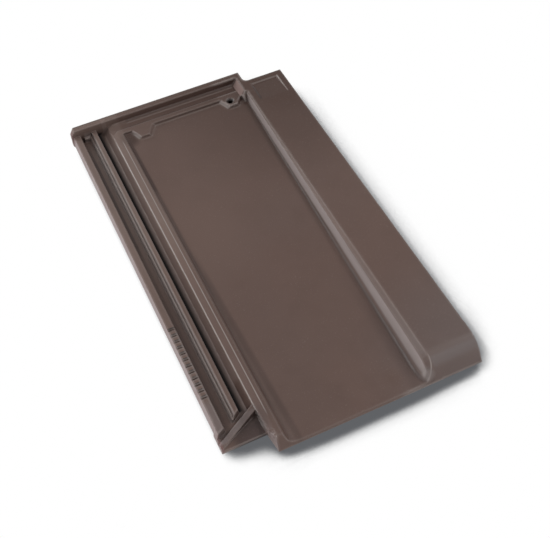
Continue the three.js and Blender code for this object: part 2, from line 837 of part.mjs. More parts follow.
// Everything inside the leaning outer wall of the interlock. The wall flares out at the
// foot, leans further in at the low end of the dam, and steps out below the rim.
function sideLimit() {
  const flareLean = outerRibLeft / ribTop;
  const walls = [
    [0, 0, cornerLean],
    [interlockFoot, 0, cornerLean],
    [damLowY, 0, damFacetLean],
    [damLowY + flareLength, 0, flareLean],
    [flareEnd, 0, flareLean],
    [flareEnd + flareLength, outerWallFoot, outerWallLean],
    [rimFootEdge - rimFlareLength, outerWallFoot, outerWallLean],
    [rimFootEdge, 0, 0],
    [tileLength, 0, 0],
  ];
  return loftAlongY(walls.map(([y, foot, lean]) => [y, [
    [foot + partingUndercut * footClearance, -footClearance],
    [tileWidth, -footClearance],
    [tileWidth, coverTop],
    [foot + lean * coverTop, coverTop],
    [foot, 0],
  ]]));
}

// ---------------------------------------------------------------- the tile

const raised = joined([
  deck(),
  cover(),
  coverFront(),
  interlockPlate(),
  outerRib(),
  innerRib(),
  borderSlope(),
  diagonalDam(),
  headRim(),
  headCorner(),
  terrace(),
  channelEnd(),
  grooveBlock(),
  coverRib(outerRibRight + ribDraft, ledgeLeft),
  coverRib(innerRibRight + ribDraft, borderSlopeX),
  footRib(),
  hangingNib(borderInnerX + leftNibFromBorder),
  hangingNib(crestX - rightNibFromCrest),
]);
const sunk = joined([drainNotches(), headChannel(), coverWedge(), nailHole(), undersidePockets()]);
const finished = raised.intersect(footLimit()).intersect(sideLimit()).subtract(sunk);

const clay = new THREE.MeshStandardMaterial({ color: 0x64554e, roughness: 0.55, metalness: 0 });
const roofTile = new THREE.Mesh(geometryOf(finished), clay);
roofTile.name = 'roof_tile';
roofTile.position.set(-tileWidth / 2, -tileLength / 2, footClearance);

const group = new THREE.Group();
group.add(roofTile);

export default group;
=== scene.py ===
"""Looks of a flat interlocking clay roof tile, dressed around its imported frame.

The tile is one fired piece. Its visible mesh starts as a copy of the frame's solid, whose
pressed edges are rounded and whose faces get the slight unevenness of pressed clay. The
engobe, a thin brown slip burnt onto the clay, is a procedural material. It also holds some
of the light and shade of the tile's edges, corners and steep faces, and the floor's material
makes the tile's shadow. Both stay as they are when the light changes.

Lengths are in metres, apart from those of Patch, Band and Hoop, which are in millimetres.
The axes are the frame's own: X across the tile, Y up the roof's slope and Z out of the
weathered face, with the origin on the floor below the middle of the tile.
"""

from __future__ import annotations

import json
import logging
import math
from dataclasses import dataclass, field
from enum import Enum
from typing import NamedTuple

import bmesh
import bpy
from mathutils import Matrix, Vector

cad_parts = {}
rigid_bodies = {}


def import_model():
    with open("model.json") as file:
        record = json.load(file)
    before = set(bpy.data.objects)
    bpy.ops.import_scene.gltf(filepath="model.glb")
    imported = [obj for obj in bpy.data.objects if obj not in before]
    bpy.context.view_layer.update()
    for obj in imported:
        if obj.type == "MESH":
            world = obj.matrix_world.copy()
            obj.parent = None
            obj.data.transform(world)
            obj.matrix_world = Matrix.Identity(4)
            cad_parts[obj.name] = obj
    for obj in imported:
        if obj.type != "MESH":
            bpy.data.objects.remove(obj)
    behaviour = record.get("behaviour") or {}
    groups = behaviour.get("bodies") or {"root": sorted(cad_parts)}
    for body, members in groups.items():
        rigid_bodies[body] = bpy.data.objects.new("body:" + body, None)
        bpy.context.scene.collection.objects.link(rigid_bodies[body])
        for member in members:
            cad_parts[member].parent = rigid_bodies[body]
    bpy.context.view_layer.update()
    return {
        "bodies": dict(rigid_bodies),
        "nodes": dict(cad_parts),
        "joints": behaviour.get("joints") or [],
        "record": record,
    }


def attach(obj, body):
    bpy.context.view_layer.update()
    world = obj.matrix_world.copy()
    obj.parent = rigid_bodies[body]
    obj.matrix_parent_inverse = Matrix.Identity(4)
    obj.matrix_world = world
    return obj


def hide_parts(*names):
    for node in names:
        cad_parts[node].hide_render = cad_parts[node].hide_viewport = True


LOG = logging.getLogger("roof_tile")
MILLIMETRE = 0.001

Colour = tuple[float, float, float]
Place = tuple[float, float, float]

WHITE: Colour = (1.0, 1.0, 1.0)
SHADED: Colour = (0.040, 0.024, 0.020)
# Near-black painted shade, for the darkest corner of the groove.
DEEP_SHADE: Colour = (0.020, 0.012, 0.010)
# Painted light, for faces that the light falls on more.
PAINTED_LIGHT: Colour = (0.170, 0.125, 0.108)
# Painted highlights, for arrises and thin marks that catch the light.
PAINTED_HIGHLIGHT: Colour = (0.270, 0.235, 0.220)


class Ramp(NamedTuple):
    """A soft step: the values where it begins and ends, and what it gives at each."""

    low: float
    high: float
    to_low: float = 0.0
    to_high: float = 1.0


class Pattern(NamedTuple):
    """A noise pattern: the width of its patches, the finer layers and their strength."""

    size: float
    detail: float
    roughness: float = 0.5


class Ray(Enum):
    """A kind of ray that a stage material answers with its shown colour."""

    CAMERA = "Is Camera Ray"
    GLOSSY = "Is Glossy Ray"
    TRANSMISSION = "Is Transmission Ray"


class Relief(Enum):
    """A kind of unevenness in the pressed face, as the size of its noise in metres."""

    WARP = 0.045
    SKIN = 0.006


class NodeSheet:
    """A shader's node tree, with short calls to add nodes and join them."""

    NEARNESS_SAMPLES = 8

    def __init__(self, tree: bpy.types.NodeTree) -> None:
        """Empties the tree.

        Args:
            tree: The node tree of a material or of the world.
        """
        self.tree = tree
        tree.nodes.clear()

    def add(self, kind: str, values: dict[str, object] | None = None, **settings: object) -> bpy.types.Node:
        """Adds a node.

        Args:
            kind: The node's type name.
            values: What its input sockets are set to, by socket name.
            **settings: What its own properties are set to.

        Returns:
            The new node.
        """
        node = self.tree.nodes.new(kind)
        for name, value in settings.items():
            setattr(node, name, value)
        for name, value in (values or {}).items():
            node.inputs[name].default_value = value
        return node

    def join(self, source: bpy.types.NodeSocket, target: bpy.types.NodeSocket) -> None:
        """Links an output socket to an input socket."""
        self.tree.links.new(source, target)

    def noise(self, place: bpy.types.NodeSocket, size: float, detail: float,
              roughness: float = 0.5) -> bpy.types.NodeSocket:
        """Adds a noise pattern.

        Args:
            place: The coordinates that the pattern reads.
            size: The width of one patch of it, in metres.
            detail: How many finer layers it has.
            roughness: How strong the finer layers are.

        Returns:
            The pattern's value, from 0 to 1.
        """
        values = {"Scale": 1 / size, "Detail": detail, "Roughness": roughness}
        node = self.add("ShaderNodeTexNoise", values, noise_dimensions="3D")
        self.join(place, node.inputs["Vector"])
        return node.outputs["Fac"]

    def stretched(self, value: bpy.types.NodeSocket, low: float, high: float,
                  to_low: float = 0.0, to_high: float = 1.0,
                  course: str = "SMOOTHSTEP") -> bpy.types.NodeSocket:
        """Maps a value from one range to another, and holds it at the ends.

        Args:
            value: The value to map.
            low: The value that becomes to_low.
            high: The value that becomes to_high.
            to_low: The lowest result.
            to_high: The highest result.
            course: How the result runs between its ends.

        Returns:
            The mapped value.
        """
        limits = {"From Min": low, "From Max": high, "To Min": to_low, "To Max": to_high}
        node = self.add("ShaderNodeMapRange", limits, interpolation_type=course)
        self.join(value, node.inputs["Value"])
        return node.outputs["Result"]

    def nearness(self, reach: float, inside: bool) -> bpy.types.NodeSocket:
        """Tells how much other surface lies close to a point.

        Args:
            reach: How far it looks, in metres.
            inside: Whether it looks through the clay, which finds arrises, or through the
                air, which finds hollow corners.

        Returns:
            0 on an open face, and up to 1 where surface lies all round.
        """
        settings = {"inside": inside, "samples": self.NEARNESS_SAMPLES}
        node = self.add("ShaderNodeAmbientOcclusion", {"Distance": reach}, **settings)
        return self.stretched(node.outputs["AO"], 0.0, 1.0, 1.0, 0.0, "LINEAR")

    def apart(self, value: bpy.types.NodeSocket) -> bpy.types.Node:
        """Takes a vector apart into its X, Y and Z."""
        node = self.add("ShaderNodeSeparateXYZ")
        self.join(value, node.inputs[0])
        return node

    def product(self, *parts: bpy.types.NodeSocket) -> bpy.types.NodeSocket:
        """Multiplies values.

        Args:
            *parts: The values.

        Returns:
            Their product.
        """
        total = parts[0]
        for part in parts[1:]:
            both = self.add("ShaderNodeMath", operation="MULTIPLY")
            self.join(total, both.inputs[0])
            self.join(part, both.inputs[1])
            total = both.outputs[0]
        return total

    def tinted(self, share: bpy.types.NodeSocket, first: bpy.types.NodeSocket | Colour,
               second: Colour) -> bpy.types.NodeSocket:
        """Mixes a second colour over a first one.

        Args:
            share: How much of the second colour shows, from 0 to 1.
            first: The colour below, or a socket that gives it.
            second: The colour on top.

        Returns:
            The mixed colour.
        """
        node = self.add("ShaderNodeMix", data_type="RGBA", blend_type="MIX")
        self.join(share, node.inputs["Factor"])
        below, above = (s for s in node.inputs if s.enabled and s.type == "RGBA")
        if isinstance(first, bpy.types.NodeSocket):
            self.join(first, below)
        else:
            below.default_value = (*first, 1.0)
        above.default_value = (*second, 1.0)
        return next(s for s in node.outputs if s.enabled)


@dataclass(frozen=True)
class Patch:
    """A soft round patch of another colour about a point of the tile, in millimetres.

    It is full within its core and fades out at its edge.
    """

    centre: Place
    core: float
    edge: float
    share: float
    colour: Colour

    def over(self, sheet: NodeSheet, place: bpy.types.NodeSocket,
             colour: bpy.types.NodeSocket) -> bpy.types.NodeSocket:
        """Lays the patch over a colour.

        Args:
            sheet: The material's nodes.
            place: The Object coordinates.
            colour: The colour so far.

        Returns:
            The colour.
        """
        apart = sheet.add("ShaderNodeVectorMath", operation="DISTANCE")
        sheet.join(place, apart.inputs[0])
        apart.inputs[1].default_value = [axis * MILLIMETRE for axis in self.centre]
        near, far = self.core * MILLIMETRE, self.edge * MILLIMETRE
        share = sheet.stretched(apart.outputs["Value"], near, far, self.share, 0.0)
        return sheet.tinted(share, colour, self.colour)


@dataclass(frozen=True)
class Band:
    """A straight band of another colour, up or across the tile, in millimetres.

    It is full over its half widths to both sides of its middle, and fades out beyond them.
    Its slant is how far it shifts across for each millimetre up the tile.
    """

    middle: tuple[float, float]
    half: tuple[float, float]
    fade: tuple[float, float]
    share: float
    colour: Colour
    slant: float = 0.0

    def over(self, sheet: NodeSheet, place: bpy.types.NodeSocket,
             colour: bpy.types.NodeSocket) -> bpy.types.NodeSocket:
        """Lays the band over a colour.

        Args:
            sheet: The material's nodes.
            place: The Object coordinates.
            colour: The colour so far.

        Returns:
            The colour.
        """
        offset = sheet.add("ShaderNodeVectorMath", operation="SUBTRACT")
        sheet.join(place, offset.inputs[0])
        offset.inputs[1].default_value = (*(middle * MILLIMETRE for middle in self.middle), 0.0)
        axes = sheet.apart(offset.outputs["Vector"])
        skewed = sheet.add("ShaderNodeMath", operation="MULTIPLY_ADD")
        sheet.join(axes.outputs["Y"], skewed.inputs[0])
        skewed.inputs[1].default_value = -self.slant
        sheet.join(axes.outputs["X"], skewed.inputs[2])
        parts = []
        for value, half, fade in zip((skewed.outputs[0], axes.outputs["Y"]), self.half, self.fade):
            away = sheet.add("ShaderNodeMath", operation="ABSOLUTE")
            sheet.join(value, away.inputs[0])
            near, far = half * MILLIMETRE, (half + fade) * MILLIMETRE
            parts.append(sheet.stretched(away.outputs[0], near, far, self.share ** 0.5, 0.0))
        return sheet.tinted(sheet.product(*parts), colour, self.colour)


def notch_shades(count: int = 12, first: float = -158.4, pitch: float = 7.68) -> tuple[Band, ...]:
    """Lists the dark bands that shade the upper walls of the outer rib's drainage notches.

    Args:
        count: How many notches there are.
        first: Where the upper wall of the lowest notch stands, in millimetres up the tile.
        pitch: The step from notch to notch, in millimetres.

    Returns:
        One band for each notch.
    """
    rib_middle = -124.6
    half, fade, share = (3.4, 0.55), (1.0, 0.6), 0.90
    colour = (0.010, 0.006, 0.005)
    walls = (first + pitch * notch for notch in range(count))
    return tuple(Band((rib_middle, wall), half, fade, share, colour) for wall in walls)


@dataclass(frozen=True)
class Hoop:
    """A thin line of another colour round the lower right of an oval, in millimetres.

    Its width is a share of the oval's size. The ramps that end it are in metres.
    """

    middle: tuple[float, float]
    radii: tuple[float, float]
    width: float
    share: float
    colour: Colour
    upper_end: Ramp = Ramp(-0.002, 0.004, 1.0, 0.0)
    left_end: Ramp = Ramp(0.001, 0.004)

    def over(self, sheet: NodeSheet, place: bpy.types.NodeSocket,
             colour: bpy.types.NodeSocket) -> bpy.types.NodeSocket:
        """Lays the line over a colour.

        Args:
            sheet: The material's nodes.
            place: The Object coordinates.
            colour: The colour so far.

        Returns:
            The colour.
        """
        offset = sheet.add("ShaderNodeVectorMath", operation="SUBTRACT")
        sheet.join(place, offset.inputs[0])
        offset.inputs[1].default_value = (*(middle * MILLIMETRE for middle in self.middle), 0.0)
        round_off = sheet.add("ShaderNodeVectorMath", operation="MULTIPLY")
        sheet.join(offset.outputs["Vector"], round_off.inputs[0])
        round_off.inputs[1].default_value = (*(1 / (radius * MILLIMETRE) for radius in self.radii), 0.0)
        length = sheet.add("ShaderNodeVectorMath", operation="LENGTH")
        sheet.join(round_off.outputs["Vector"], length.inputs[0])
        off = sheet.add("ShaderNodeMath", operation="SUBTRACT")
        sheet.join(length.outputs["Value"], off.inputs[0])
        off.inputs[1].default_value = 1.0
        away = sheet.add("ShaderNodeMath", operation="ABSOLUTE")
        sheet.join(off.outputs[0], away.inputs[0])
        axes = sheet.apart(offset.outputs["Vector"])
        line = sheet.product(
            sheet.stretched(away.outputs[0], 0.0, self.width, self.share, 0.0),
            sheet.stretched(axes.outputs["Y"], *self.upper_end),
            sheet.stretched(axes.outputs["X"], *self.left_end),
        )
        return sheet.tinted(line, colour, self.colour)


@dataclass(frozen=True)
class Engobe:
    """The brown slip burnt onto the clay, with light and shade painted into it.

    Patches and bands of painted light and shade tint, lighten and darken the face before the
    arrises get painted highlights, and thin marks of painted light and shade go on top of them.
    They are placed for this one tile and one light.

    Of the ramps, shares and the roughness read noise, lights and shades read how near other
    surface is, and leans and the level read one axis of the way a face looks. The others
    read places on the tile, in metres.
    """

    name: str = "brown_engobe"
    colour: Colour = (0.104, 0.067, 0.056)
    dark: Colour = (0.088, 0.055, 0.045)
    reddish: Colour = (0.110, 0.067, 0.054)
    lit: Colour = (0.241, 0.206, 0.199)
    # Colour of the painted highlights on arrises, lobes and flanks, and of the slip's pale flecks.
    highlight_and_fleck: Colour = (0.250, 0.215, 0.200)
    shadow: Colour = SHADED
    # Near-black painted shade in the narrow groove beside the inner rib.
    groove: Colour = (0.004, 0.003, 0.003)
    # Painted light and shade: shade over the head's right, light on the left of the pan, a grey painted
    # sheen at the foot's right, light on the foot's left tip, and shade at the head's right corner and in
    # the corners of the shelf and the terrace. One patch is a small darker spot on the pan near the foot.
    patches: tuple[Patch, ...] = (
        Patch((150.0, 240.0, 30.0), 100.0, 240.0, 0.92, (0.064, 0.037, 0.029)),
        Patch((-85.0, 30.0, 20.0), 30.0, 115.0, 0.60, (0.132, 0.086, 0.071)),
        Patch((150.0, -230.0, 20.0), 30.0, 150.0, 0.60, (0.112, 0.088, 0.083)),
        Patch((45.0, -214.0, 20.0), 3.0, 16.0, 0.40, (0.085, 0.050, 0.038)),
        Patch((-131.0, -237.0, 10.0), 6.0, 22.0, 0.75, (0.260, 0.130, 0.105)),
        Patch((125.0, 205.0, 30.0), 30.0, 75.0, 0.80, (0.050, 0.026, 0.019)),
        Patch((-100.0, -213.0, 16.0), 10.0, 23.0, 0.68, (0.020, 0.012, 0.012)),
        Patch((-71.5, 195.0, 22.0), 4.0, 16.0, 0.75, (0.024, 0.010, 0.006)),
    )
    # Bands of painted light: the left of the pan, the outer rib's top and its foot, and the dam's top.
    painted_light_bands: tuple[Band, ...] = (
        Band((-105.0, 150.0), (28.0, 80.0), (6.0, 110.0), 0.45, PAINTED_LIGHT),
        Band((-124.9, 40.0), (3.0, 200.0), (1.2, 20.0), 0.22, PAINTED_LIGHT),
        Band((-124.6, -186.0), (3.2, 14.0), (1.0, 12.0), 0.42, (0.175, 0.150, 0.148)),
        Band((-111.0, -199.2), (5.0, 8.0), (2.0, 3.0), 0.45, (0.180, 0.155, 0.155), 1.969),
    )
    shades: tuple[Band, ...] = (
        Band((-118.3, 0.0), (0.8, 180.0), (1.6, 10.0), 0.30, SHADED),
        Band((-72.8, 0.0), (0.8, 180.0), (4.0, 20.0), 0.38, SHADED),
        Band((-72.2, 60.0), (0.8, 60.0), (3.0, 80.0), 0.35, (0.040, 0.022, 0.017), -0.0065),
        Band((-72.8, 150.0), (1.0, 35.0), (2.4, 16.0), 0.75, (0.030, 0.014, 0.010), -0.0065),
        Band((-65.4, -125.0), (0.8, 85.0), (4.5, 60.0), 0.42, SHADED, -0.0333),
        Band((-118.4, 120.0), (0.6, 70.0), (1.8, 30.0), 0.55, DEEP_SHADE),
        Band((64.0, -205.0), (2.5, 40.0), (10.0, 110.0), 0.30, SHADED),
        Band((77.4, -160.0), (1.6, 60.0), (1.2, 60.0), 0.30, (0.060, 0.040, 0.034)),
        Band((2.0, 213.6), (66.0, 1.4), (3.0, 0.8), 0.35, SHADED),
        Band((2.0, 225.2), (66.0, 0.7), (3.0, 0.8), 0.60, SHADED),
        Band((89.3, 192.0), (0.8, 11.0), (1.4, 4.0), 0.70, (0.020, 0.010, 0.008)),
        *notch_shades(),
    )
    # Thin marks of painted highlights on arrises, the roll's end and lit faces, and a few of painted shade
    # at the head's rim and beside the dam.
    light_and_shade_lines: tuple[Band | Patch | Hoop, ...] = (
        Hoop((69.6, -216.0), (11.6, 16.3), 0.080, 0.80, PAINTED_HIGHLIGHT),
        Patch((74.5, -228.0, 20.0), 3.0, 9.0, 0.60, (0.190, 0.160, 0.152)),
        Band((-109.3, 10.0), (0.15, 195.0), (0.7, 6.0), 0.75, PAINTED_HIGHLIGHT),
        Band((-106.6, 10.0), (0.10, 195.0), (0.6, 6.0), 0.35, PAINTED_HIGHLIGHT),
        Band((-87.2, -7.0), (0.15, 195.0), (0.7, 12.0), 1.00, PAINTED_HIGHLIGHT),
        Band((-80.0, -4.0), (0.15, 190.0), (0.7, 12.0), 0.90, PAINTED_HIGHLIGHT),
        Band((107.0, -221.5), (24.0, 2.0), (3.0, 4.5), 0.60, (0.135, 0.112, 0.108)),
        Band((-130.5, 0.0), (1.9, 240.0), (0.8, 5.0), 0.50, (0.155, 0.082, 0.079)),
        Band((-91.3, 40.0), (2.0, 190.0), (1.2, 10.0), 0.33, (0.200, 0.150, 0.135)),
        Band((2.0, 222.2), (66.0, 0.4), (3.0, 0.9), 0.22, PAINTED_HIGHLIGHT),
        Band((106.5, 208.6), (15.5, 0.5), (1.5, 0.9), 0.30, PAINTED_HIGHLIGHT),
        Band((123.4, 193.5), (0.3, 14.0), (0.8, 3.0), 0.50, PAINTED_HIGHLIGHT),
        Band((74.2, 213.0), (2.4, 9.5), (0.7, 2.0), 0.60, (0.240, 0.170, 0.155)),
        Band((-112.6, 224.2), (3.4, 1.6), (0.8, 0.8), 0.40, (0.270, 0.225, 0.210)),
        Band((0.0, 234.6), (140.0, 1.2), (5.0, 1.2), 0.60, (0.070, 0.046, 0.038)),
        Band((-84.8, -224.0), (2.2, 9.0), (1.0, 5.0), 0.65, (0.115, 0.078, 0.071)),
        Patch((-90.0, -199.0, 17.5), 3.0, 22.0, 0.55, (0.040, 0.026, 0.024)),
    )
    # Near-black painted shade in and round the nail hole.
    nail_hole_shade: Patch = Patch((58.0, 200.2, 17.2), 7.4, 11.0, 0.94, (0.004, 0.002, 0.002))

    cloud: Pattern = Pattern(110.0 * MILLIMETRE, 3.0)
    cloud_share: Ramp = Ramp(0.35, 0.7, 0.0, 0.45)
    blot: Pattern = Pattern(30.0 * MILLIMETRE, 4.0)
    blot_share: Ramp = Ramp(0.45, 0.75, 0.0, 0.35)
    fleck: Pattern = Pattern(1.2 * MILLIMETRE, 2.0)
    fleck_share: Ramp = Ramp(0.62, 0.75, 0.0, 0.2)

    fillet_reach: float = 14.0 * MILLIMETRE
    fillet_shade: Ramp = Ramp(0.06, 0.42, 0.0, 0.5)
    corner_reach: float = 2.5 * MILLIMETRE
    corner_shade: Ramp = Ramp(0.08, 0.4, 0.0, 0.7)
    arris_reach: float = 2.2 * MILLIMETRE
    arris_light: Ramp = Ramp(0.03, 0.24, 0.0, 0.32)
    notch_light: Ramp = Ramp(0.03, 0.20, 0.0, 0.50)
    crest_reach: float = 3.0 * MILLIMETRE
    crest_light: Ramp = Ramp(0.05, 0.17, 0.0, 0.55)
    ledge_reach: float = 4.0 * MILLIMETRE
    ledge_light: Ramp = Ramp(0.05, 0.22, 0.0, 0.5)

    lit_lean: Ramp = Ramp(-0.91, -0.78, 1.0, 0.0)
    roll_lean: Ramp = Ramp(-0.36, -0.12, 0.80, 0.0)
    roll_leans: tuple[Ramp, Ramp] = (Ramp(-0.76, -0.56), Ramp(-0.96, -0.72))
    flank_lean: Ramp = Ramp(-0.5, -0.2, 0.5, 0.0)
    ledge_level: Ramp = Ramp(0.85, 0.96)

    roll_ends: tuple[Ramp, Ramp] = (Ramp(-0.145, 0.015, 1.0, 0.0), Ramp(-0.145, 0.015, 0.0, 1.0))
    roll_left: Ramp = Ramp(0.040, 0.052)
    roll_top: Ramp = Ramp(0.024, 0.026, 1.0, 0.0)
    crest_right: Ramp = Ramp(0.084, 0.092, 1.0, 0.0)
    groove_left: Ramp = Ramp(-0.1015, -0.1005)
    groove_right: Ramp = Ramp(-0.0997, -0.0937, 1.0, 0.0)
    groove_foot: Ramp = Ramp(-0.187, -0.183)
    groove_top: Ramp = Ramp(0.0182, 0.0212, 1.0, 0.0)
    notch_right: Ramp = Ramp(-0.1215, -0.1205, 1.0, 0.0)
    notch_foot: Ramp = Ramp(-0.190, -0.186)
    notch_head: Ramp = Ramp(-0.080, -0.076, 1.0, 0.0)
    lobes_foot: Ramp = Ramp(0.176, 0.181)
    lobes_head: Ramp = Ramp(0.2050, 0.2062, 1.0, 0.0)
    lobes_left: Ramp = Ramp(-0.066, -0.062)
    lobes_right: Ramp = Ramp(0.066, 0.070, 1.0, 0.0)

    sheen: float = 0.25
    dulled: Pattern = Pattern(18.0 * MILLIMETRE, 3.0)
    roughness: Ramp = Ramp(0.3, 0.7, 0.33, 0.44)
    grain: Pattern = Pattern(0.9 * MILLIMETRE, 3.0, 0.6)
    grain_height: float = 0.05 * MILLIMETRE
    grain_strength: float = 0.6

    def material(self) -> bpy.types.Material:
        """Builds the finish.

        Returns:
            The material, whose patterns read the piece's Object coordinates.
        """
        made = bpy.data.materials.new(self.name)
        made.use_nodes = True
        made.diffuse_color = (*self.colour, 1.0)
        sheet = NodeSheet(made.node_tree)
        where = sheet.add("ShaderNodeTexCoord")
        place = where.outputs["Object"]
        surface = sheet.add("ShaderNodeBsdfPrincipled", {"Specular IOR Level": self.sheen})
        output = sheet.add("ShaderNodeOutputMaterial")
        sheet.join(surface.outputs["BSDF"], output.inputs["Surface"])
        facing = where.outputs["Normal"]
        colour = self.clouded(sheet, place)
        colour = self.sidelit(sheet, facing, colour)
        colour = self.shaded(sheet, place, facing, colour)
        colour = self.highlighted(sheet, place, colour)
        colour = self.ledged(sheet, place, facing, colour)
        colour = self.nail_hole_shade.over(sheet, place, colour)
        sheet.join(colour, surface.inputs["Base Color"])
        sheet.join(self.gloss(sheet, place), surface.inputs["Roughness"])
        sheet.join(self.skin(sheet, place), surface.inputs["Normal"])
        return made

    def clouded(self, sheet: NodeSheet, place: bpy.types.NodeSocket) -> bpy.types.NodeSocket:
        """Gives the slip broad clouds, blots and small flecks, and lays the patches and bands of painted
        light and shade.

        Args:
            sheet: The material's nodes.
            place: The Object coordinates.

        Returns:
            The colour.
        """
        clouds = sheet.stretched(sheet.noise(place, *self.cloud), *self.cloud_share)
        colour = sheet.tinted(clouds, self.colour, self.reddish)
        blots = sheet.stretched(sheet.noise(place, *self.blot), *self.blot_share)
        colour = sheet.tinted(blots, colour, self.dark)
        for patch in self.patches:
            colour = patch.over(sheet, place, colour)
        for pale in self.painted_light_bands:
            colour = pale.over(sheet, place, colour)
        flecks = sheet.stretched(sheet.noise(place, *self.fleck), *self.fleck_share)
        return sheet.tinted(flecks, colour, self.highlight_and_fleck)

    def sidelit(self, sheet: NodeSheet, facing: bpy.types.NodeSocket,
                colour: bpy.types.NodeSocket) -> bpy.types.NodeSocket:
        """Pales the steep faces that look left, as more light from there would.

        Args:
            sheet: The material's nodes.
            facing: The direction that the face looks in, in the piece's own axes.
            colour: The colour so far.

        Returns:
            The colour.
        """
        steep = sheet.stretched(sheet.apart(facing).outputs["X"], *self.lit_lean)
        return sheet.tinted(steep, colour, self.lit)

    def shaded(self, sheet: NodeSheet, place: bpy.types.NodeSocket, facing: bpy.types.NodeSocket,
               colour: bpy.types.NodeSocket) -> bpy.types.NodeSocket:
        """Paints shade into the corners and the foot of the roll, and adds the bands of painted shade.

        The narrow groove gets its near-black painted shade last.

        Args:
            sheet: The material's nodes.
            place: The Object coordinates.
            facing: The direction that the face looks in.
            colour: The colour so far.

        Returns:
            The colour.
        """
        fillet = sheet.stretched(sheet.nearness(self.fillet_reach, False), *self.fillet_shade)
        colour = sheet.tinted(fillet, colour, self.shadow)
        corner = sheet.stretched(sheet.nearness(self.corner_reach, False), *self.corner_shade)
        colour = sheet.tinted(corner, colour, self.shadow)
        axes = sheet.apart(place)
        lean = sheet.apart(facing).outputs["X"]
        foot = sheet.product(
            sheet.stretched(lean, *self.roll_lean),
            sheet.stretched(axes.outputs["X"], *self.roll_left),
            sheet.stretched(axes.outputs["Z"], *self.roll_top),
        )
        for steep, end in zip(self.roll_leans, self.roll_ends):
            part = sheet.product(
                foot,
                sheet.stretched(lean, *steep),
                sheet.stretched(axes.outputs["Y"], *end),
            )
            colour = sheet.tinted(part, colour, self.shadow)
        for shade in self.shades:
            colour = shade.over(sheet, place, colour)
        return sheet.tinted(self.grooved(sheet, place), colour, self.groove)

    def grooved(self, sheet: NodeSheet, place: bpy.types.NodeSocket) -> bpy.types.NodeSocket:
        """Tells where the narrow groove beside the inner rib runs.

        Args:
            sheet: The material's nodes.
            place: The Object coordinates.

        Returns:
            1 at the groove's left side, fading to 0 at its right side and outside it.
        """
        axes = sheet.apart(place)
        return sheet.product(
            sheet.stretched(axes.outputs["X"], *self.groove_left),
            sheet.stretched(axes.outputs["X"], *self.groove_right),
            sheet.stretched(axes.outputs["Y"], *self.groove_foot),
            sheet.stretched(axes.outputs["Z"], *self.groove_top),
        )

    def highlighted(self, sheet: NodeSheet, place: bpy.types.NodeSocket,
                    colour: bpy.types.NodeSocket) -> bpy.types.NodeSocket:
        """Paints highlights on the arrises, the notches and the crest, and adds the thin marks of painted
        light and shade.

        Args:
            sheet: The material's nodes.
            place: The Object coordinates.
            colour: The colour so far.

        Returns:
            The colour.
        """
        arrises = sheet.stretched(sheet.nearness(self.arris_reach, True), *self.arris_light)
        colour = sheet.tinted(arrises, colour, self.highlight_and_fleck)
        axes = sheet.apart(place)
        across = axes.outputs["X"]
        notched = sheet.product(
            sheet.stretched(sheet.nearness(self.arris_reach, True), *self.notch_light),
            sheet.stretched(across, *self.notch_right),
            sheet.stretched(axes.outputs["Y"], *self.notch_foot),
            sheet.stretched(axes.outputs["Y"], *self.notch_head),
        )
        colour = sheet.tinted(notched, colour, self.highlight_and_fleck)
        crest = sheet.product(
            sheet.stretched(sheet.nearness(self.crest_reach, True), *self.crest_light),
            sheet.stretched(across, *self.roll_left),
            sheet.stretched(across, *self.crest_right),
        )
        colour = sheet.tinted(crest, colour, self.highlight_and_fleck)
        for line in self.light_and_shade_lines:
            colour = line.over(sheet, place, colour)
        return colour

    def ledged(self, sheet: NodeSheet, place: bpy.types.NodeSocket, facing: bpy.types.NodeSocket,
               colour: bpy.types.NodeSocket) -> bpy.types.NodeSocket:
        """Paints highlights on the pan along the terrace's lobes and the step between, and on sides that
        look left.

        Args:
            sheet: The material's nodes.
            place: The Object coordinates.
            facing: The direction that the face looks in.
            colour: The colour so far.

        Returns:
            The colour.
        """
        axes = sheet.apart(place)
        way = sheet.apart(facing)
        zone = sheet.product(
            sheet.stretched(axes.outputs["Y"], *self.lobes_foot),
            sheet.stretched(axes.outputs["Y"], *self.lobes_head),
            sheet.stretched(axes.outputs["X"], *self.lobes_left),
            sheet.stretched(axes.outputs["X"], *self.lobes_right),
        )
        ledge = sheet.product(
            sheet.stretched(sheet.nearness(self.ledge_reach, False), *self.ledge_light),
            sheet.stretched(way.outputs["Z"], *self.ledge_level),
            zone,
        )
        colour = sheet.tinted(ledge, colour, self.highlight_and_fleck)
        flank = sheet.product(sheet.stretched(way.outputs["X"], *self.flank_lean), zone)
        return sheet.tinted(flank, colour, self.highlight_and_fleck)

    def gloss(self, sheet: NodeSheet, place: bpy.types.NodeSocket) -> bpy.types.NodeSocket:
        """Varies the roughness a little over the face, and keeps the narrow groove matt.

        Args:
            sheet: The material's nodes.
            place: The Object coordinates.

        Returns:
            The roughness.
        """
        rough = sheet.stretched(sheet.noise(place, *self.dulled), *self.roughness)
        duller = sheet.add("ShaderNodeMath", operation="MAXIMUM")
        sheet.join(rough, duller.inputs[0])
        sheet.join(self.grooved(sheet, place), duller.inputs[1])
        return duller.outputs[0]

    def skin(self, sheet: NodeSheet, place: bpy.types.NodeSocket) -> bpy.types.NodeSocket:
        """Raises the fine grain of the fired slip.

        Args:
            sheet: The material's nodes.
            place: The Object coordinates.

        Returns:
            The bent normal.
        """
        bump = sheet.add("ShaderNodeBump", {"Strength": self.grain_strength, "Distance": self.grain_height})
        sheet.join(sheet.noise(place, *self.grain), bump.inputs["Height"])
        return bump.outputs["Normal"]


